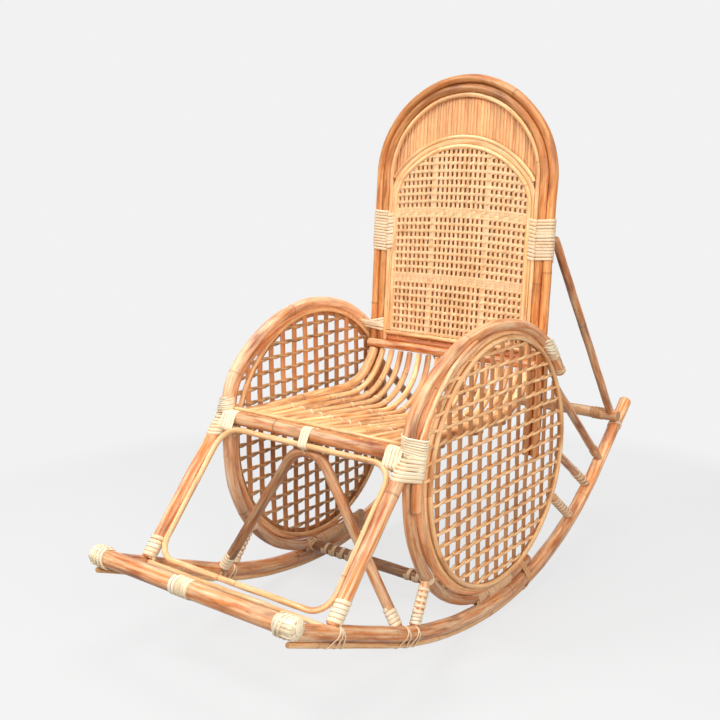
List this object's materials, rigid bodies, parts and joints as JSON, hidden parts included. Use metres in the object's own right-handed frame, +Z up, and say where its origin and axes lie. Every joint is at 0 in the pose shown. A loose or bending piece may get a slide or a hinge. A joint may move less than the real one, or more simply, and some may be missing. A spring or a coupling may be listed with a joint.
{
  "type": "cane rocking chair",
  "caption": "Rattan rocking chair with an arched woven back, round latticed side hoops that carry the arms, a dished cane seat and two long bent rockers.",
  "frame": {"origin": "on the floor under the middle of the chair, between the two rockers where they touch the floor", "axes": "+Z up, +Y towards the back of the chair along the rockers, +X towards the sitter's left, which is the right-hand side seen from the front"},
  "size_m": [0.5536, 1.3038, 1.146],
  "materials": {
    "pole": "varnished rattan pole, satin",
    "thin_cane": "varnished thin cane, satin",
    "seat_cane": "varnished cane, satin",
    "split_cane": "pale split cane, satin",
    "woven_cane": "woven split cane, satin",
    "reed": "varnished reed, satin",
    "lattice_strip": "stained split cane, satin",
    "red_pole": "red-stained rattan pole, satin"
  },
  "bodies": {
    "root": {"rocker_left": "pole", "rocker_right": "pole", "wear_strip_left": "thin_cane", "wear_strip_right": "thin_cane", "front_bar": "pole", "rear_crossbar": "pole", "stretcher": "pole", "front_post_left": "pole", "front_post_right": "pole", "front_rail": "pole", "seat_edge_strip": "thin_cane", "front_loop": "thin_cane", "toe_strip": "thin_cane", "arched_brace": "pole", "outer_hoop_left": "pole", "outer_hoop_right": "pole", "under_arm_pole_left": "pole", "under_arm_pole_right": "pole", "ring_back_left": "thin_cane", "ring_back_right": "thin_cane", "ring_face_left": "thin_cane", "ring_face_right": "thin_cane", "lattice_uprights_left": "lattice_strip", "lattice_uprights_right": "lattice_strip", "lattice_cross_canes_left": "thin_cane", "lattice_cross_canes_right": "thin_cane", "hoop_spacer_left": "pole", "hoop_spacer_right": "pole", "rear_struts_left": "pole", "rear_struts_right": "pole", "back_outer_arch": "pole", "back_inner_arch": "pole", "back_trim_arch": "thin_cane", "reed_panel": "reed", "panel_outer_cane": "thin_cane", "panel_band": "thin_cane", "panel_inner_cane": "thin_cane", "woven_panel": "woven_cane", "panel_border": "thin_cane", "back_red_rail": "red_pole", "back_lower_rail": "pole", "back_stay_left": "pole", "back_stay_right": "pole", "seat_side_rail_left": "pole", "seat_side_rail_right": "pole", "seat_canes": "seat_cane", "seat_supports": "pole", "seat_ties": "split_cane", "corner_binding_left": "split_cane", "corner_binding_right": "split_cane", "back_binding_left": "split_cane", "back_binding_right": "split_cane", "arm_bindings": "split_cane", "bar_bindings": "split_cane", "foot_bindings": "split_cane", "strut_wraps": "split_cane", "rail_ties": "split_cane", "stretcher_wraps": "split_cane", "rocker_lashings": "split_cane"}
  },
  "joints": []
}
